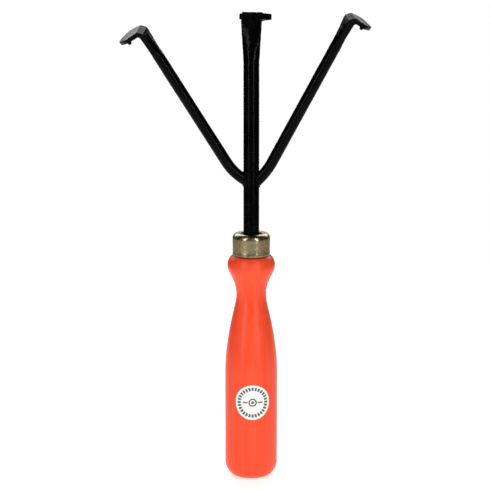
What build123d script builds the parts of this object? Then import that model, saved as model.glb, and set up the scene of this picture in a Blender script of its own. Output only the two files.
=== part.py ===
from build123d import *
import os
from math import cos, radians, sin, tan

# Hand cultivator: a turned wooden handle with a drawn ferrule, a centre tine whose tang is driven
# into the handle, and two thinner side tines welded to it.  Every tine ends in a forged claw.
# +Z runs up the handle, -Y is the side that carries the label and the claws point towards +Y.
# The origin is the centre of the flat on the butt.  Millimetres throughout.

# --- handle ---
HANDLE_LENGTH = 124.0
GRIP_RADIUS = 14.3
GRIP_BOTTOM_Z = 8.4
GRIP_TOP_Z = 59.0
BUTT_FLAT_RADIUS = 7.6
WAIST_RADIUS = 8.2
WAIST_Z = 103.5
BULGE_RADIUS = 12.9
BULGE_Z = 117.8
SHOULDER_RADIUS = 9.9

# --- ferrule ---
FERRULE_RADIUS = 10.1
FERRULE_WALL = 0.9
FERRULE_HEIGHT = 12.0
FERRULE_HOLE_RADIUS = 5.6
FERRULE_CORNER = 2.6

# --- centre tine ---
SHANK_RADIUS = 4.25
TANG_DEPTH = 48.0
TANG_POINT = 6.0
CENTRE_FORGE_Z = 228.5
CENTRE_CLAW_TOP_Z = 255.0
CENTRE_TURN = 11.0
CENTRE_BEND = 100.0

# --- side tines ---
SIDE_ROD_RADIUS = 3.0
ROOT_Z = 165.5
SIDE_LEAN = 8.5
SIDE_FORGE_LENGTH = 14.0
COPE_LENGTH = 60.0
LEFT = {"side": -1, "spread": 31.5, "root_angle": 57.0, "sweep_radius": 28.5, "straight": 68.4,
        "heading": 67.0, "bend": 93.5, "roll": 9.0, "set_back": 0.0,
        "neck_thickness": 3.2, "blade_length": 15.2}
RIGHT = {"side": 1, "spread": 27.6, "root_angle": 45.0, "sweep_radius": 36.0, "straight": 72.3,
         "heading": 73.0, "bend": 95.0, "roll": 3.5, "set_back": 0.3,
         "neck_thickness": 4.2, "blade_length": 12.8}

# --- claws: flattened neck, sharp bend bevelled on the outside, and spade-shaped blade ---
SIDE_CLAW = {"neck_width": 7.4, "rise": 4.2, "bevel": 2.3, "inner_radius": 0.8,
             "root_thickness": 2.6, "root_at": 1.2, "shoulder_at": 7.4, "shoulder_width": 10.2,
             "tip_width": 3.6, "tip_thickness": 2.3, "tip_drop": 0.8}
CENTRE_CLAW = {"neck_width": 10.6, "neck_thickness": 3.8, "rise": 6.0, "bevel": 2.2,
               "inner_radius": 1.2, "root_thickness": 3.4, "root_at": 5.5, "shoulder_at": 11.0,
               "shoulder_width": 17.6, "length": 20.5, "tip_width": 4.6, "tip_thickness": 2.4,
               "tip_drop": 0.9}

TIP_ROUNDING = 0.9

# --- welds ---
WELD_SPREAD = 0.9
WELD_HEIGHT = 2.2

# --- label ---
LABEL_DIAMETER = 19.5
LABEL_Z = 44.8
LABEL_TURN = 3.0
LABEL_THICKNESS = 0.12


def make_handle():
    """Turned grip with a waist, a bulge under the ferrule, a spigot and a blind tang bore."""
    spigot_radius = FERRULE_RADIUS - FERRULE_WALL
    spigot_top = HANDLE_LENGTH + FERRULE_HEIGHT - FERRULE_WALL
    with BuildPart() as handle:
        with BuildSketch(Plane.XZ):
            with BuildLine():
                Line((0, 0), (BUTT_FLAT_RADIUS, 0))
                EllipticalCenterArc(
                    (BUTT_FLAT_RADIUS, GRIP_BOTTOM_Z),
                    GRIP_RADIUS - BUTT_FLAT_RADIUS,
                    GRIP_BOTTOM_Z,
                    start_angle=270,
                    arc_size=90,
                )
                Line((GRIP_RADIUS, GRIP_BOTTOM_Z), (GRIP_RADIUS, GRIP_TOP_Z))
                Spline(
                    (GRIP_RADIUS, GRIP_TOP_Z),
                    (12.85, 76.6),
                    (9.9, 91.7),
                    (WAIST_RADIUS, WAIST_Z),
                    (10.4, 111.3),
                    (BULGE_RADIUS, BULGE_Z),
                    (SHOULDER_RADIUS, HANDLE_LENGTH),
                    tangents=[(0, 1), (-1, 0.5)],
                )
                Line((SHOULDER_RADIUS, HANDLE_LENGTH), (spigot_radius, HANDLE_LENGTH))
                Line((spigot_radius, HANDLE_LENGTH), (spigot_radius, spigot_top - FERRULE_CORNER))
                Line(
                    (spigot_radius, spigot_top - FERRULE_CORNER),
                    (spigot_radius - FERRULE_CORNER, spigot_top),
                )
                Line((spigot_radius - FERRULE_CORNER, spigot_top), (0, spigot_top))
                Line((0, spigot_top), (0, 0))
            make_face()
        revolve(axis=Axis.Z)
    return handle.part - make_tang(spigot_top)


def make_tang(top_z):
    """The part of the shank that sits inside the handle, with a pointed end."""
    bottom_z = HANDLE_LENGTH - TANG_DEPTH
    with BuildPart() as tang:
        with BuildSketch(Plane.XZ):
            Polygon(
                (0, bottom_z - TANG_POINT),
                (SHANK_RADIUS, bottom_z),
                (SHANK_RADIUS, top_z),
                (0, top_z),
                align=None,
            )
        revolve(axis=Axis.Z)
    return tang.part


def make_ferrule():
    """Drawn metal cup, open below, with a hole for the shank in its closed top."""
    with BuildPart() as ferrule:
        with Locations((0, 0, HANDLE_LENGTH)):
            Cylinder(
                FERRULE_RADIUS,
                FERRULE_HEIGHT,
                align=(Align.CENTER, Align.CENTER, Align.MIN),
            )
        top_edge = ferrule.edges().sort_by(Axis.Z)[-1]
        fillet(top_edge, FERRULE_CORNER)
        with Locations((0, 0, HANDLE_LENGTH)):
            Cylinder(
                FERRULE_HOLE_RADIUS,
                FERRULE_HEIGHT,
                align=(Align.CENTER, Align.CENTER, Align.MIN),
                mode=Mode.SUBTRACT,
            )
    return ferrule.part - make_handle()


def claw_side_profile(claw):
    """Side view of the bend and blade, drawn in local YZ and extruded across the width."""
    back = -claw["neck_thickness"] / 2
    front = claw["neck_thickness"] / 2
    rise = claw["rise"]
    bevel = claw["bevel"]
    inner = claw["inner_radius"]
    length = claw["length"]
    under = rise - claw["root_thickness"]
    tip_top = rise - claw["tip_drop"]
    tip_bottom = tip_top - claw["tip_thickness"]
    with BuildSketch(Plane.YZ) as profile:
        with BuildLine():
            Line((back, 0), (front, 0))
            Line((front, 0), (front, under - inner))
            CenterArc((front + inner, under - inner), inner, 180, -90)
            Spline((front + inner, under), (length, tip_bottom), tangents=[(1, 0), (1, -0.2)])
            Line((length, tip_bottom), (length, tip_top))
            Spline((length, tip_top), (back + bevel, rise), tangents=[(-1, 0.2), (-1, 0)])
            Line((back + bevel, rise), (back, rise - bevel))
            Line((back, rise - bevel), (back, 0))
        make_face()
    return extrude(profile.sketch, amount=claw["shoulder_width"], both=True)


def claw_plan(claw):
    """Plan view of the bend and blade: a neck that flares to shoulders and tapers to a blunt tip."""
    neck = claw["neck_width"] / 2
    shoulder = claw["shoulder_width"] / 2
    tip = claw["tip_width"] / 2
    back = -claw["neck_thickness"]
    length = claw["length"]
    with BuildSketch(Plane.XY) as plan:
        with BuildLine():
            outline = [
                Line((neck, back), (neck, claw["root_at"])),
                Spline(
                    (neck, claw["root_at"]),
                    (shoulder, claw["shoulder_at"]),
                    tangents=[(0.3, 1), (0.1, 1)],
                ),
                Spline(
                    (shoulder, claw["shoulder_at"]),
                    (tip, length - TIP_ROUNDING),
                    tangents=[(-0.2, 1), (-0.6, 1)],
                ),
            ]
            for edge in outline:
                add(edge.mirror(Plane.YZ))
            Line((-neck, back), (neck, back))
            ThreePointArc((tip, length - TIP_ROUNDING), (0, length), (-tip, length - TIP_ROUNDING))
        make_face()
    return extrude(plan.sketch, amount=claw["length"], both=True)


def make_claw(claw, rod_radius, rod_end, claw_plane):
    """Neck and blade: the blade lies in the claw plane's XY and points along its Y."""
    circle = rod_end * Circle(rod_radius)
    neck_section = claw_plane * Rectangle(claw["neck_width"], claw["neck_thickness"])
    neck = loft([circle, neck_section])
    blade = claw_side_profile(claw) & claw_plan(claw)
    return neck + blade.moved(claw_plane.location)


def make_centre_tine():
    """Tang, shank and claw in one forged rod."""
    shank = Pos(0, 0, HANDLE_LENGTH) * Cylinder(
        SHANK_RADIUS,
        CENTRE_FORGE_Z - HANDLE_LENGTH,
        align=(Align.CENTER, Align.CENTER, Align.MIN),
    )
    rod_end = Plane.XY.offset(CENTRE_FORGE_Z)
    neck_end_z = CENTRE_CLAW_TOP_Z - CENTRE_CLAW["rise"]
    place = Pos(0, 0, neck_end_z) * Rot(0, 0, -CENTRE_TURN) * Rot(90 - CENTRE_BEND, 0, 0)
    claw = make_claw(CENTRE_CLAW, SHANK_RADIUS, rod_end, Plane(place))
    return make_tang(HANDLE_LENGTH) + shank + claw


def side_path(tine):
    """Centre line of a side tine and its direction at the top: an arc off the shank, then straight."""
    side = tine["side"]
    spread = radians(tine["spread"])
    lean = radians(SIDE_LEAN)
    root_angle = radians(tine["root_angle"])
    root = Vector(side * SHANK_RADIUS, 0, ROOT_Z)
    root_direction = Vector(side * sin(root_angle), 0, cos(root_angle))
    direction = Vector(side * sin(spread) * cos(lean), -sin(lean), cos(spread) * cos(lean))
    turn = radians(root_direction.get_angle(direction))
    reach = tine["sweep_radius"] * tan(turn / 2)
    arc_end = root + (root_direction + direction) * reach
    top = arc_end + direction * tine["straight"]
    start = root - root_direction * SHANK_RADIUS
    path = Wire(
        [
            Line(start, root).edge(),
            TangentArc(root, arc_end, tangent=root_direction).edge(),
            Line(arc_end, top).edge(),
        ]
    )
    return path, start, root_direction, top, direction


def make_side_tine(tine):
    """A thinner rod that springs from the side of the shank and ends in a claw."""
    path, start, root_direction, top, direction = side_path(tine)
    section = Plane(origin=start, z_dir=root_direction) * Circle(SIDE_ROD_RADIUS)
    rod = sweep(section, path=path)
    outward = Vector(tine["side"], 0, 0)
    outward = (outward - direction * outward.dot(direction)).normalized()
    backward = Vector(0, 1, 0)
    backward = backward - direction * backward.dot(direction) - outward * backward.dot(outward)
    backward = backward.normalized()
    heading = radians(tine["heading"])
    points_to = outward * sin(heading) + backward * cos(heading)
    rod_end = Plane(origin=top, x_dir=points_to.cross(direction), z_dir=direction)
    place = rod_end.location * Pos(0, -tine["set_back"], SIDE_FORGE_LENGTH)
    place = place * Rot(90 - tine["bend"], 0, 0) * Rot(0, tine["side"] * tine["roll"], 0)
    shape = SIDE_CLAW | {"neck_thickness": tine["neck_thickness"], "length": tine["blade_length"]}
    claw = make_claw(shape, SIDE_ROD_RADIUS, rod_end, Plane(place))
    return rod + claw - shank_stock()


def shank_stock():
    """The round shank where the side tines meet it, used to cope their ends."""
    return Pos(0, 0, ROOT_Z) * Cylinder(SHANK_RADIUS, COPE_LENGTH)


def make_weld(tine):
    """Fillet weld around the foot of a side tine."""
    start, root_direction = side_path(tine)[1:3]
    foot = Plane(origin=start, z_dir=root_direction)
    bead = Cone(
        SIDE_ROD_RADIUS + WELD_SPREAD,
        SIDE_ROD_RADIUS,
        WELD_HEIGHT + SHANK_RADIUS,
        align=(Align.CENTER, Align.CENTER, Align.MIN),
    )
    return bead.moved(foot.location) - shank_stock() - make_side_tine(tine)


def make_label():
    """Round paper sticker wrapped on the front of the grip, a little to the right."""
    half_chord = GRIP_RADIUS * sin(LABEL_DIAMETER / 2 / GRIP_RADIUS)
    outline = Plane.XZ * Pos(0, LABEL_Z) * Ellipse(half_chord, LABEL_DIAMETER / 2)
    cut = extrude(outline, amount=GRIP_RADIUS * 2)
    sleeve = Pos(0, 0, LABEL_Z) * Cylinder(GRIP_RADIUS + LABEL_THICKNESS, LABEL_DIAMETER * 2)
    core = Pos(0, 0, LABEL_Z) * Cylinder(GRIP_RADIUS, LABEL_DIAMETER * 2)
    return ((sleeve - core) & cut).rotate(Axis.Z, LABEL_TURN)


PARTS = {
    "handle": make_handle(),
    "ferrule": make_ferrule(),
    "centre_tine": make_centre_tine(),
    "left_tine": make_side_tine(LEFT),
    "right_tine": make_side_tine(RIGHT),
    "left_weld": make_weld(LEFT),
    "right_weld": make_weld(RIGHT),
    "round_label": make_label(),
}

os.makedirs("parts", exist_ok=True)
for name, part in PARTS.items():
    part.label = name
    export_step(part, f"parts/{name}.step")
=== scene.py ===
from math import cos, exp, radians, sin, sqrt, tau

import bmesh
import bpy
import numpy as np
from mathutils import Matrix, Vector, noise


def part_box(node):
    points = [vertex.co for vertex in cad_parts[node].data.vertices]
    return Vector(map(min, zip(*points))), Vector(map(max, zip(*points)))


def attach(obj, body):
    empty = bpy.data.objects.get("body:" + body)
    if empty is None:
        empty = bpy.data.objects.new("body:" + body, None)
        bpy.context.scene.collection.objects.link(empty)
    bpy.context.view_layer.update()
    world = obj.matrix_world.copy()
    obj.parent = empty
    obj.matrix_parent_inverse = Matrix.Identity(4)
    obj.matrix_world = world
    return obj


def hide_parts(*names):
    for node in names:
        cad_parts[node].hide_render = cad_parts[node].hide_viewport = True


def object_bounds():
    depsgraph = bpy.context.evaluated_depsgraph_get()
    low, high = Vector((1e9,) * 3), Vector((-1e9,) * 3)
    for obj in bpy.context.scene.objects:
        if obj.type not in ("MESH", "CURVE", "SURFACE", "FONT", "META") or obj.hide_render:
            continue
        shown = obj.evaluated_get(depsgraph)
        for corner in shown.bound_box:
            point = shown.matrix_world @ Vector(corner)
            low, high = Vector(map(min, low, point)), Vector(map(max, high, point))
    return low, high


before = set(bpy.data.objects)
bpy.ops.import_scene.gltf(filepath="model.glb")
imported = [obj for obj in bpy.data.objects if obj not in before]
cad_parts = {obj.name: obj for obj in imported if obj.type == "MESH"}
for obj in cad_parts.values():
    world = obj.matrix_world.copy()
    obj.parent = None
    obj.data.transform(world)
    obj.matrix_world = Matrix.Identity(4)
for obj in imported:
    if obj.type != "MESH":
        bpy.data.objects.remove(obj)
cad_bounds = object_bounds()

# Hand cultivator: enamelled turned handle, plated ferrule, black forged tines, paper label.
# Each piece is made here in mesh code; the forgings start from the solids in the frame.
# Metres, in the CAD frame: +Z up the handle, -Y the label side, claws towards +Y.
MM = 0.001

HANDLE_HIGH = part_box("handle")[1]
FERRULE_LOW, FERRULE_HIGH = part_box("ferrule")
LABEL_LOW, LABEL_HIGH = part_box("round_label")
CENTRE_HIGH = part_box("centre_tine")[1]
LEFT_LOW, LEFT_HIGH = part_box("left_tine")
RIGHT_LOW, RIGHT_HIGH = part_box("right_tine")

GRIP_RADIUS = HANDLE_HIGH.x
FERRULE_RADIUS = FERRULE_HIGH.x
FERRULE_WALL = FERRULE_HIGH.z - HANDLE_HIGH.z
FERRULE_CORNER = 2.6 * MM
FERRULE_HOLE_RADIUS = 5.6 * MM
SHOULDER_Z = FERRULE_LOW.z
SHANK_RADIUS = 4.25 * MM
ROD_RADIUS = 3.0 * MM
ROOT_Z = 165.5 * MM
LEFT_ROOT_ANGLE = radians(57)
RIGHT_ROOT_ANGLE = radians(45)
LABEL_TURN = radians(3)
LABEL_MIDDLE_Z = (LABEL_LOW.z + LABEL_HIGH.z) / 2


# ---------------------------------------------------------------- node materials


def add_node(tree, kind, **settings):
    """Adds a shader node and applies its settings."""
    made = tree.nodes.new(kind)
    for setting, value in settings.items():
        setattr(made, setting, value)
    return made


class Shader:
    """A Principled material with short calls for the nodes that drive it."""

    def __init__(self, name, **values):
        self.material = bpy.data.materials.new(name)
        self.material.use_nodes = True
        self.tree = self.material.node_tree
        self.surface = self.tree.nodes["Principled BSDF"]
        for socket, value in values.items():
            self.surface.inputs[socket.replace("_", " ")].default_value = value
        self.place = self.node("ShaderNodeTexCoord").outputs["Object"]

    def node(self, kind, **settings):
        return add_node(self.tree, kind, **settings)

    def wire(self, source, socket):
        """Links an output to a socket, or sets the socket if the source is a plain value."""
        if isinstance(source, bpy.types.NodeSocket):
            self.tree.links.new(source, socket)
        else:
            socket.default_value = source

    def math(self, operation, *sources, clamp=False):
        made = self.node("ShaderNodeMath", operation=operation, use_clamp=clamp)
        for source, socket in zip(sources, made.inputs):
            self.wire(source, socket)
        return made.outputs[0]

    def stretch(self, x, y, z, place=None):
        """Object coordinates scaled along each axis."""
        made = self.node("ShaderNodeMapping")
        self.wire(place or self.place, made.inputs["Vector"])
        made.inputs["Scale"].default_value = (x, y, z)
        return made.outputs[0]

    def noise(self, place, scale, detail=3.0, roughness=0.5, distortion=0.0):
        made = self.node("ShaderNodeTexNoise")
        self.wire(place, made.inputs["Vector"])
        made.inputs["Scale"].default_value = scale
        made.inputs["Detail"].default_value = detail
        made.inputs["Roughness"].default_value = roughness
        made.inputs["Distortion"].default_value = distortion
        return made.outputs["Fac"]

    def voronoi(self, place, scale):
        made = self.node("ShaderNodeTexVoronoi", feature="SMOOTH_F1")
        self.wire(place, made.inputs["Vector"])
        made.inputs["Scale"].default_value = scale
        return made.outputs["Distance"]

    def ranged(self, source, low, high, to_low=0.0, to_high=1.0):
        """Maps low..high to to_low..to_high, held at the ends."""
        made = self.node("ShaderNodeMapRange", interpolation_type="SMOOTHSTEP")
        self.wire(source, made.inputs["Value"])
        made.inputs["From Min"].default_value = low
        made.inputs["From Max"].default_value = high
        made.inputs["To Min"].default_value = to_low
        made.inputs["To Max"].default_value = to_high
        return made.outputs["Result"]

    def mix(self, factor, first, second):
        made = self.node("ShaderNodeMix", data_type="RGBA")
        self.wire(factor, made.inputs[0])
        self.wire(first, made.inputs[6])
        self.wire(second, made.inputs[7])
        return made.outputs[2]

    def bump(self, height, strength, distance, under=None):
        made = self.node("ShaderNodeBump")
        made.inputs["Strength"].default_value = strength
        made.inputs["Distance"].default_value = distance
        self.wire(height, made.inputs["Height"])
        if under is not None:
            self.wire(under, made.inputs["Normal"])
        return made.outputs["Normal"]

    def axes(self):
        made = self.node("ShaderNodeSeparateXYZ")
        self.wire(self.place, made.inputs[0])
        return made.outputs

    def drive(self, **sources):
        for socket, source in sources.items():
            self.wire(source, self.surface.inputs[socket.replace("_", " ")])
        return self.material


def enamel_material():
    """Orange enamel on turned wood: faint grain streaks, a painted shadow line under the ferrule, and the
    wood inside it painted near-black as shade.
    """
    s = Shader("orange_enamel", Roughness=0.4, IOR=1.3)
    fine = s.noise(s.stretch(1, 1, 0.02), 900.0, 4.0, 0.55)
    broad = s.noise(s.stretch(1, 1, 0.03), 240.0, 2.0, 0.5)
    cloud = s.noise(s.place, 60.0, 2.0, 0.5)
    streak = s.math("ADD", s.math("MULTIPLY", fine, 0.45), s.math("MULTIPLY", broad, 0.55))
    colour = s.mix(s.ranged(streak, 0.36, 0.64), (0.88, 0.062, 0.018, 1), (0.94, 0.085, 0.029, 1))
    colour = s.mix(s.ranged(cloud, 0.45, 0.75, 0.0, 0.35), colour, (0.92, 0.094, 0.034, 1))
    speck = s.voronoi(s.stretch(1, 1, 0.5), 700.0)
    dust = s.ranged(s.math("ADD", speck, s.noise(s.place, 300.0)), 0.42, 0.50, 1.0, 0.0)
    colour = s.mix(s.math("MULTIPLY", dust, 0.35), colour, (0.55, 0.04, 0.015, 1))
    height = s.axes()[2]
    # Painted shadow: a dark band just under the ferrule's lower lip, where shade falls in the gap.
    seam = s.ranged(height, SHOULDER_Z - 0.9 * MM, SHOULDER_Z - 0.2 * MM)
    colour = s.mix(s.math("MULTIPLY", seam, 0.8), colour, (0.10, 0.014, 0.006, 1))
    # Painted shade: the wood seen through the ferrule's hole is near-black, unpainted end grain darkened
    # for the shade inside the hole.
    bare_wood_and_shade = s.ranged(height, SHOULDER_Z + 1.0 * MM, SHOULDER_Z + 2.0 * MM)
    colour = s.mix(bare_wood_and_shade, colour, (0.016, 0.010, 0.006, 1))
    rough = s.ranged(s.math("ADD", broad, cloud), 0.8, 1.2, 0.28, 0.38)
    peel = s.noise(s.place, 1400.0, 2.0, 0.5)
    normal = s.bump(streak, 0.22, 0.00012)
    normal = s.bump(peel, 0.12, 0.00005, normal)
    return s.drive(Base_Color=colour, Roughness=rough, Normal=normal)


def plate_material():
    """Yellow-passivated zinc plate with fine turned lines, stains, a brown blush and small pits."""
    s = Shader("yellow_zinc", Metallic=1.0, Roughness=0.3)
    lines = s.noise(s.stretch(0.04, 0.04, 1), 3600.0, 5.0, 0.65)
    bands = s.noise(s.stretch(0.15, 0.15, 1), 700.0, 3.0, 0.6)
    stain = s.noise(s.place, 260.0, 5.0, 0.65, 0.6)
    olive = s.mix(s.ranged(stain, 0.35, 0.66), (0.24, 0.195, 0.107, 1), (0.33, 0.285, 0.17, 1))
    tone = s.mix(s.ranged(bands, 0.35, 0.7, 0.0, 0.5), olive, (0.38, 0.32, 0.21, 1))
    blush = s.noise(s.stretch(1, 1, 0.6), 150.0, 3.0, 0.5)
    tone = s.mix(s.ranged(blush, 0.45, 0.68, 0.0, 0.7), tone, (0.36, 0.22, 0.12, 1))
    pits = s.ranged(s.noise(s.place, 1900.0, 3.0, 0.7), 0.24, 0.36, 1.0, 0.0)
    tone = s.mix(s.math("MULTIPLY", pits, 0.5), tone, (0.07, 0.045, 0.022, 1))
    rough = s.ranged(s.math("ADD", lines, stain), 0.75, 1.25, 0.17, 0.33)
    normal = s.bump(lines, 0.35, 0.00006)
    normal = s.bump(stain, 0.25, 0.00012, normal)
    return s.drive(Base_Color=tone, Roughness=rough, Normal=normal)


def black_material():
    """Thin black enamel over forged steel: scale marks, dull scuffs near the claws, and a painted
    pale-grey reflection of the overhead light on the upward faces of the side claws."""
    s = Shader("black_enamel", Roughness=0.24, IOR=1.14)
    scale = s.noise(s.place, 420.0, 4.0, 0.6)
    coat = s.noise(s.place, 90.0, 3.0, 0.5)
    x, _, z = s.axes()
    claws = s.ranged(z, CENTRE_HIGH.z - 45 * MM, CENTRE_HIGH.z - 8 * MM)
    scuff = s.ranged(s.noise(s.stretch(1, 1, 0.5), 620.0, 5.0, 0.7, 0.4), 0.60, 0.70)
    thin = s.ranged(coat, 0.35, 0.65)
    colour = s.mix(thin, (0.0003, 0.0003, 0.0003, 1), (0.0008, 0.0008, 0.0008, 1))
    worn = s.math("MULTIPLY", scuff, s.math("MULTIPLY", claws, 0.25))
    colour = s.mix(worn, colour, (0.008, 0.007, 0.006, 1))
    # Painted reflection: the upward faces of the side claws are mixed towards pale grey, standing in for
    # the overhead light reflected at a grazing angle.
    facing = s.node("ShaderNodeSeparateXYZ")
    s.wire(s.node("ShaderNodeNewGeometry").outputs["Normal"], facing.inputs[0])
    upward = s.ranged(facing.outputs[2], 0.48, 0.64)
    sideways = s.ranged(s.math("ABSOLUTE", x), 15 * MM, 25 * MM)
    grain = s.ranged(scale, 0.35, 0.65, 0.6, 1.0)
    level = s.ranged(facing.outputs[2], 0.80, 0.93, 1.0, 0.16)
    pale = s.math("MULTIPLY", s.math("MULTIPLY", upward, sideways), s.math("MULTIPLY", grain, level))
    colour = s.mix(pale, colour, (0.300, 0.297, 0.285, 1))
    rough = s.ranged(s.math("ADD", scale, coat), 0.75, 1.25, 0.17, 0.30)
    normal = s.bump(scale, 0.30, 0.00010)
    normal = s.bump(s.noise(s.place, 1500.0, 3.0, 0.6), 0.18, 0.00004, normal)
    return s.drive(Base_Color=colour, Roughness=rough, Normal=normal)


def label_material():
    """White paper disc with a plain printed ring of dashes, a dot in a ring and two short bars."""
    s = Shader("label_paper", Roughness=0.55)
    x, y, z = s.axes()
    bearing = s.math("SUBTRACT", s.math("ARCTAN2", x, s.math("MULTIPLY", y, -1.0)), LABEL_TURN)
    around = s.math("MULTIPLY", bearing, GRIP_RADIUS)
    up = s.math("SUBTRACT", z, LABEL_MIDDLE_Z)
    square = s.math("ADD", s.math("MULTIPLY", around, around), s.math("MULTIPLY", up, up))
    radius = s.math("SQRT", square)
    angle = s.math("ARCTAN2", up, around)

    def ring(middle, half):
        """1 on a circle of that radius and half width, 0 off it."""
        off = s.math("ABSOLUTE", s.math("SUBTRACT", radius, middle))
        return s.ranged(off, half * 0.8, half * 1.2, 1.0, 0.0)

    def bar(middle_x, half_x, half_z):
        """1 on a level bar and its mirror image, 0 off them."""
        off_x = s.math("ABSOLUTE", s.math("SUBTRACT", s.math("ABSOLUTE", around), middle_x))
        off_z = s.math("ABSOLUTE", up)
        across = s.ranged(off_x, half_x * 0.95, half_x * 1.05, 1.0, 0.0)
        return s.math("MULTIPLY", across, s.ranged(off_z, half_z * 0.8, half_z * 1.2, 1.0, 0.0))

    dash_count = 28
    wave = s.math("COSINE", s.math("MULTIPLY", angle, float(dash_count)))
    dashes = s.math("MULTIPLY", ring(7.5 * MM, 0.95 * MM), s.ranged(wave, -0.70, -0.30))
    dot = s.math("MAXIMUM", ring(0.0, 0.8 * MM), ring(1.9 * MM, 0.38 * MM))
    bars = bar(4.1 * MM, 1.4 * MM, 0.42 * MM)
    fibre = s.noise(s.stretch(1, 1, 0.4), 2600.0, 4.0, 0.6)
    paper = s.mix(s.ranged(fibre, 0.35, 0.65), (0.83, 0.84, 0.80, 1), (0.93, 0.94, 0.90, 1))
    print_wear = s.ranged(fibre, 0.25, 0.45, 0.7, 1.0)
    colour = s.mix(s.math("MULTIPLY", dashes, print_wear), paper, (0.050, 0.068, 0.075, 1))
    colour = s.mix(s.math("MULTIPLY", dot, print_wear), colour, (0.06, 0.06, 0.055, 1))
    colour = s.mix(s.math("MULTIPLY", bars, print_wear), colour, (0.26, 0.07, 0.07, 1))
    # Painted shade in part: the rim is tinted beige-brown, partly yellowed paper and partly the shadow line
    # round the label's edge.
    edge = s.ranged(radius, 9.35 * MM, 9.75 * MM, 0.0, 0.35)
    colour = s.mix(edge, colour, (0.55, 0.44, 0.34, 1))
    normal = s.bump(fibre, 0.12, 0.00004)
    return s.drive(Base_Color=colour, Normal=normal)


def floor_material():
    """Plain pale studio floor with a faint mottle."""
    s = Shader("pale_floor", Roughness=0.7, Emission_Strength=0.62)
    mottle = s.noise(s.place, 9.0, 3.0, 0.5)
    tone = s.mix(s.ranged(mottle, 0.3, 0.7), (0.90, 0.90, 0.89, 1), (0.94, 0.94, 0.93, 1))
    return s.drive(Base_Color=tone, Emission_Color=tone)


# ---------------------------------------------------------------- pieces


def finished(mesh, name):
    """Turns a bmesh into mesh data and frees it."""
    data = bpy.data.meshes.new(name)
    mesh.to_mesh(data)
    mesh.free()
    return data


def add_piece(name, mesh, material, slot, *nodes):
    """Puts a finished mesh in the scene, riding on the one body, in place of the CAD nodes."""
    mesh.materials.clear()
    mesh.materials.append(material)
    mesh.shade_smooth()
    piece = bpy.data.objects.new(name, mesh)
    bpy.context.collection.objects.link(piece)
    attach(piece, "root")
    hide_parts(*nodes)
    return piece


def spline(points, start, end, steps):
    """Cubic spline through (radius, z) points over their chord length, with unit end tangents."""
    knots = np.array(points)
    spans = np.linalg.norm(np.diff(knots, axis=0), axis=1)
    slopes = np.diff(knots, axis=0) / spans[:, None]
    slopes = np.vstack([start, slopes, end])
    count = len(knots)
    system = np.zeros((count, count))
    for i, span in enumerate(spans):
        system[i:i + 2, i:i + 2] += [[2 * span, span], [span, 2 * span]]
    bends = np.linalg.solve(system, 6 * np.diff(slopes, axis=0))
    line = []
    for i, span in enumerate(spans):
        for step in range(steps):
            b = step / steps
            a = 1 - b
            pull = (a ** 3 - a) * bends[i] + (b ** 3 - b) * bends[i + 1]
            line.append(tuple(a * knots[i] + b * knots[i + 1] + pull * span ** 2 / 6))
    line.append(points[-1])
    return line


def arc(centre_r, centre_z, radius_r, radius_z, start, end, steps):
    """Points of an elliptical arc in the (radius, z) plane, angles in degrees."""
    angles = [radians(start + (end - start) * i / steps) for i in range(steps + 1)]
    return [(centre_r + radius_r * cos(a), centre_z + radius_z * sin(a)) for a in angles]


def lathe(name, profile, segments, wobble=None):
    """Revolves a closed (radius, z) outline about Z; radius 0 at an end closes on the axis."""
    mesh = bmesh.new()
    rings = []
    for radius, z in profile:
        if radius == 0:
            rings.append([mesh.verts.new((0, 0, z))])
            continue
        ring = []
        for i in range(segments):
            turn = tau * i / segments
            r = radius + (wobble(turn, radius, z) if wobble else 0.0)
            ring.append(mesh.verts.new((r * cos(turn), r * sin(turn), z)))
        rings.append(ring)
    on_axis = len(rings[0]) == 1
    pairs = list(zip(rings, rings[1:]))
    if not on_axis:
        pairs.append((rings[-1], rings[0]))
    for low, high in pairs:
        for i in range(segments):
            j = (i + 1) % segments
            corners = [low[i % len(low)], low[j % len(low)], high[j % len(high)], high[i % len(high)]]
            mesh.faces.new(list(dict.fromkeys(corners)))
    bmesh.ops.recalc_face_normals(mesh, faces=mesh.faces)
    return finished(mesh, name)


def make_handle(material):
    """The turned grip up to the shoulder, and the wood seen through the ferrule's hole."""
    butt_radius = 7.6 * MM
    corner_z = 8.4 * MM
    grip_top = 59.0 * MM
    belly = [
        (GRIP_RADIUS, grip_top), (12.85 * MM, 76.6 * MM), (9.9 * MM, 91.7 * MM), (8.2 * MM, 103.5 * MM),
        (10.4 * MM, 111.3 * MM), (12.9 * MM, 117.8 * MM), (9.9 * MM, SHOULDER_Z),
    ]
    inside = FERRULE_RADIUS - FERRULE_WALL
    profile = [(0, 0), (butt_radius * 0.5, 0)]
    profile += arc(butt_radius, corner_z, GRIP_RADIUS - butt_radius, corner_z, 270, 360, 24)
    profile += [(GRIP_RADIUS, corner_z + (grip_top - corner_z) * i / 24) for i in range(1, 24)]
    profile += spline(belly, start=(0, 1), end=(-0.894, 0.447), steps=16)
    profile += [(inside, SHOULDER_Z), (inside, HANDLE_HIGH.z - FERRULE_CORNER)]
    profile += [(inside - FERRULE_CORNER, HANDLE_HIGH.z), (0, HANDLE_HIGH.z)]

    def turned(turn, radius, z):
        """Tool marks on the outside: a slow wander of up to 0.05 mm."""
        if z > SHOULDER_Z - 0.2 * MM or z < 2 * MM:
            return 0.0
        place = Vector((cos(turn), sin(turn), z * 60))
        return 0.05 * MM * noise.noise(place)

    mesh = lathe("enamel_handle", profile, 128, turned)
    return add_piece("enamel_handle", mesh, material, "orange_enamel", "handle")


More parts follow.
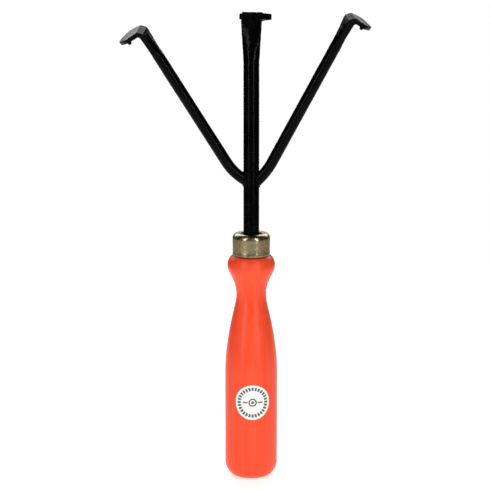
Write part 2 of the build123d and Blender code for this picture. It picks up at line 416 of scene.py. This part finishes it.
def make_ferrule(material):
    """Drawn cup: rolled lower lip, slightly uneven wall, soft shoulder and a punched hole."""
    low = FERRULE_LOW.z
    high = FERRULE_HIGH.z
    wall = FERRULE_WALL
    shoulder = FERRULE_CORNER
    hole = FERRULE_HOLE_RADIUS
    lip = 0.35 * MM
    outer = FERRULE_RADIUS
    inner = outer - wall
    profile = arc(outer - lip, low + lip, lip, lip, 270, 360, 6)
    profile += [(outer - 0.04 * MM, low + 1.1 * MM), (outer - 0.05 * MM, low + 3.0 * MM)]
    profile += [(outer - 0.03 * MM, low + 6.0 * MM), (outer, high - shoulder - 0.6 * MM)]
    profile += arc(outer - shoulder, high - shoulder, shoulder, shoulder, 0, 90, 14)
    profile += arc(hole + lip, high - lip, lip, lip, 90, 180, 5)
    profile += [(hole, high - wall), (inner - shoulder + wall, high - wall)]
    profile += [(inner, high - shoulder), (inner, low)]

    def dented(turn, radius, z):
        """Rough rim at the hole, a true bore inside and a slightly uneven wall outside."""
        if radius < hole + 2 * lip:
            return 0.10 * MM * noise.noise(Vector((2 * cos(turn), 2 * sin(turn), 7.0)))
        if radius < inner + 0.1 * MM and z < high - shoulder:
            return 0.0
        return 0.045 * MM * noise.noise(Vector((1.6 * cos(turn), 1.6 * sin(turn), z * 260)))

    mesh = lathe("plated_ferrule", profile, 144, dented)
    return add_piece("plated_ferrule", mesh, material, "plated_steel", "ferrule")


def forged_copy(name, node, material, drips=(), keep_above=None):
    """The CAD node reworked as a forging: fused anew, edges worn round, faces lightly hammered.

    Each drip is the (centre, radius) of a run of paint that hangs from an edge."""
    mesh = bmesh.new()
    mesh.from_mesh(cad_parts[node].data)
    bmesh.ops.remove_doubles(mesh, verts=mesh.verts, dist=1e-7)
    if keep_above is not None:
        whole = mesh.verts[:] + mesh.edges[:] + mesh.faces[:]
        level = Vector((0, 0, keep_above))
        cut = bmesh.ops.bisect_plane(mesh, geom=whole, plane_co=level, plane_no=(0, 0, 1), clear_inner=True)
        rim = [part for part in cut["geom_cut"] if isinstance(part, bmesh.types.BMEdge)]
        bmesh.ops.holes_fill(mesh, edges=rim, sides=0)
    for centre, radius in drips:
        place = Matrix.Translation(centre)
        bmesh.ops.create_icosphere(mesh, subdivisions=3, radius=radius, matrix=place)
    blank = bpy.data.objects.new(name + "_blank", finished(mesh, name + "_blank"))
    bpy.context.collection.objects.link(blank)
    fuse = blank.modifiers.new("fuse", "REMESH")
    fuse.mode = "VOXEL"
    fuse.voxel_size = 0.22 * MM
    worn = blank.modifiers.new("worn", "SMOOTH")
    worn.factor = 0.5
    worn.iterations = 2
    bpy.context.view_layer.update()
    shown = blank.evaluated_get(bpy.context.evaluated_depsgraph_get())
    forged = bpy.data.meshes.new_from_object(shown)
    bpy.data.objects.remove(blank)
    top = max(vertex.co.z for vertex in forged.vertices)
    forged.name = name
    moved = []
    for vertex in forged.vertices:
        place = vertex.co
        near_claw = 1 / (1 + exp((top - place.z - 34 * MM) / (5 * MM)))
        hammer = noise.noise(place * 380) * (0.02 + 0.10 * near_claw)
        scale = noise.noise(place * 1100) * 0.018
        moved.append(place + vertex.normal * (hammer + scale) * MM)
    for vertex, place in zip(forged.vertices, moved):
        vertex.co = place
    forged.update()
    return add_piece(name, forged, material, "black_enamel", node)


def weld_bead(name, side, root_angle, bead_radius, below, material, node):
    """A rippled bead laid round the seam where a side rod meets the shank.

    Below is how much thicker it gets, as a share of its radius, towards its lowest point."""
    axis = Vector((side * sin(root_angle), 0, cos(root_angle)))
    root = Vector((side * SHANK_RADIUS, 0, ROOT_Z))
    across = Vector((0, 1, 0))
    over = axis.cross(across)
    rod = ROD_RADIUS + 0.02 * MM
    shank = SHANK_RADIUS + 0.08 * MM
    stations = 180
    around = 14
    ripples = 17
    seam = []
    for i in range(stations):
        turn = tau * i / stations
        point = root + (across * cos(turn) + over * sin(turn)) * rod
        b = point.x * axis.x
        a = axis.x ** 2
        c = point.x ** 2 + point.y ** 2 - shank ** 2
        slide = (-b + sqrt(max(b * b - a * c, 0))) / a
        seam.append(point + axis * slide)
    mesh = bmesh.new()
    rings = []
    for i, point in enumerate(seam):
        along = (seam[(i + 1) % stations] - seam[i - 1]).normalized()
        outward = Vector((point.x, point.y, 0)).normalized()
        outward = (outward - along * outward.dot(along)).normalized()
        sideways = along.cross(outward)
        lowness = max(0.0, (ROOT_Z - point.z) / ROD_RADIUS)
        size = bead_radius * (1 + below * lowness)
        phase = tau * ripples * i / stations
        size *= 1 + 0.10 * sin(phase) + 0.10 * noise.noise(point * 900)
        lag = along * 0.25 * MM * cos(phase)
        ring = []
        for k in range(around):
            spin = tau * k / around
            ring.append(mesh.verts.new(point + lag + (outward * cos(spin) + sideways * sin(spin)) * size))
        rings.append(ring)
    for i in range(stations):
        one, two = rings[i], rings[(i + 1) % stations]
        for k in range(around):
            n = (k + 1) % around
            mesh.faces.new((one[k], one[n], two[n], two[k]))
    bmesh.ops.recalc_face_normals(mesh, faces=mesh.faces)
    return add_piece(name, finished(mesh, name), material, "black_enamel", node)


def make_label(material):
    """Paper disc laid round the grip, its rim lifting a hair here and there."""
    rings = 22
    segments = 120
    disc = (LABEL_HIGH.z - LABEL_LOW.z) / 2
    thickness = 0.14 * MM
    mesh = bmesh.new()

    def sheet(lift_of):
        rows = []
        for i in range(rings + 1):
            radius = disc * i / rings
            row = []
            for k in range(segments if i else 1):
                turn = tau * k / segments
                along, up = radius * cos(turn), radius * sin(turn)
                reach = GRIP_RADIUS + lift_of(radius, turn)
                bend = along / GRIP_RADIUS + LABEL_TURN
                row.append(mesh.verts.new((reach * sin(bend), -reach * cos(bend), LABEL_MIDDLE_Z + up)))
            rows.append(row)
        for low, high in zip(rows, rows[1:]):
            for k in range(segments):
                n = (k + 1) % segments
                corners = [low[k % len(low)], high[k], high[n], low[n % len(low)]]
                mesh.faces.new(list(dict.fromkeys(corners)))
        return rows[-1]

    def curl(radius, turn):
        rim = max(0.0, radius / disc - 0.9) * 10
        return 0.05 * MM * rim * (0.6 + noise.noise(Vector((2 * cos(turn), 2 * sin(turn), 3.0))))

    front = sheet(lambda radius, turn: thickness + curl(radius, turn))
    back = sheet(lambda radius, turn: 0.02 * MM)
    for k in range(segments):
        n = (k + 1) % segments
        mesh.faces.new((front[k], back[k], back[n], front[n]))
    bmesh.ops.recalc_face_normals(mesh, faces=mesh.faces)
    return add_piece("paper_label", finished(mesh, "paper_label"), material, "label_paper", "round_label")


black = black_material()
make_handle(enamel_material())
make_ferrule(plate_material())
make_label(label_material())

left_drip = (
    Vector((LEFT_LOW.x + 5.9 * MM, LEFT_LOW.y + 3.5 * MM, LEFT_HIGH.z - 9.2 * MM)),
    1.1 * MM,
)
right_drip = (
    Vector((RIGHT_HIGH.x - 5.5 * MM, RIGHT_LOW.y + 2.4 * MM, RIGHT_HIGH.z - 7.8 * MM)),
    1.05 * MM,
)
forged_copy("centre_forging", "centre_tine", black, keep_above=SHOULDER_Z + 2 * MM)
forged_copy("left_forging", "left_tine", black, [left_drip])
forged_copy("right_forging", "right_tine", black, [right_drip])
weld_bead("left_bead", -1, LEFT_ROOT_ANGLE, 0.48 * MM, 0.0, black, "left_weld")
weld_bead("right_bead", 1, RIGHT_ROOT_ANGLE, 0.42 * MM, 0.1, black, "right_weld")


# ---------------------------------------------------------------- studio


FLOOR_RADIUS = 0.6
STRIP_ELEVATION = 20
STRIP_DISTANCE = 1.07
STRIP_WIDTH = 0.10
STRIP_HEIGHT = 1.0
STRIP_POWER = 5.0
DIM = 0.06
BRIGHT = 3.0
CAMERA_DISTANCE = 1.05
CAMERA_ELEVATION = radians(11.2)
CAMERA_LENS = 142.4


def add_floor():
    """A broad pale disc just under the butt."""
    mesh = bmesh.new()
    bmesh.ops.create_circle(mesh, cap_ends=True, radius=FLOOR_RADIUS, segments=96)
    bmesh.ops.translate(mesh, verts=mesh.verts, vec=(0, 0, cad_bounds[0].z - 0.2 * MM))
    data = finished(mesh, "floor")
    data.materials.append(floor_material())
    floor = bpy.data.objects.new("floor", data)
    bpy.context.collection.objects.link(floor)


def add_strip_lamp(name, azimuth):
    """A tall narrow lamp that faces the middle of the tool; azimuth 0 is on the label side."""
    a = radians(azimuth)
    e = radians(STRIP_ELEVATION)
    middle = (cad_bounds[0] + cad_bounds[1]) / 2
    away = Vector((sin(a) * cos(e), -cos(a) * cos(e), sin(e)))
    data = bpy.data.lights.new(name, "AREA")
    data.shape = "RECTANGLE"
    data.size = STRIP_WIDTH
    data.size_y = STRIP_HEIGHT
    data.energy = STRIP_POWER
    lamp = bpy.data.objects.new(name, data)
    lamp.location = middle + away * STRIP_DISTANCE
    lamp.rotation_euler = away.to_track_quat("Z", "Y").to_euler()
    lamp.visible_camera = False
    bpy.context.collection.objects.link(lamp)


def add_world():
    """White to the camera; as a light it is bright behind and above, and dim everywhere else."""
    world = bpy.data.worlds.new("studio")
    world.use_nodes = True
    tree = world.node_tree
    tree.nodes.clear()

    place = add_node(tree, "ShaderNodeTexCoord").outputs["Generated"]
    split = add_node(tree, "ShaderNodeSeparateXYZ")
    tree.links.new(place, split.inputs[0])

    def fade(axis, start, end):
        """0 below start and 1 above end along one axis of the direction looked in."""
        made = add_node(tree, "ShaderNodeMapRange", interpolation_type="SMOOTHSTEP")
        tree.links.new(split.outputs[axis], made.inputs["Value"])
        made.inputs["From Min"].default_value = start
        made.inputs["From Max"].default_value = end
        return made.outputs["Result"]

    both = add_node(tree, "ShaderNodeMath", operation="MULTIPLY")
    tree.links.new(fade("Y", 0.4, 0.75), both.inputs[0])
    tree.links.new(fade("Z", 0.25, 0.37), both.inputs[1])
    strength = add_node(tree, "ShaderNodeMapRange")
    tree.links.new(both.outputs[0], strength.inputs["Value"])
    strength.inputs["To Min"].default_value = DIM
    strength.inputs["To Max"].default_value = BRIGHT
    lamp = add_node(tree, "ShaderNodeBackground")
    tree.links.new(strength.outputs["Result"], lamp.inputs["Strength"])
    plain = add_node(tree, "ShaderNodeBackground")
    sight = add_node(tree, "ShaderNodeLightPath")
    choose = add_node(tree, "ShaderNodeMixShader")
    output = add_node(tree, "ShaderNodeOutputWorld")
    lamp.inputs["Color"].default_value = (1, 1, 1, 1)
    plain.inputs["Color"].default_value = (1, 1, 1, 1)
    tree.links.new(sight.outputs["Is Camera Ray"], choose.inputs[0])
    tree.links.new(lamp.outputs[0], choose.inputs[1])
    tree.links.new(plain.outputs[0], choose.inputs[2])
    tree.links.new(choose.outputs[0], output.inputs["Surface"])
    bpy.context.scene.world = world


def add_camera():
    """Long lens from the label side, a little above the tool."""
    target = Vector((-3.4 * MM, 0, cad_bounds[1].z / 2 + 1.45 * MM))
    data = bpy.data.cameras.new("camera")
    data.lens = CAMERA_LENS
    camera = bpy.data.objects.new("camera", data)
    away = Vector((0, -cos(CAMERA_ELEVATION), sin(CAMERA_ELEVATION)))
    camera.location = target + away * CAMERA_DISTANCE
    camera.rotation_euler = away.to_track_quat("Z", "Y").to_euler()
    bpy.context.collection.objects.link(camera)
    bpy.context.scene.camera = camera


add_floor()
add_strip_lamp("strip_left", -40)
add_strip_lamp("strip_right", 34)
add_world()
add_camera()
bpy.context.scene.view_settings.view_transform = "Standard"
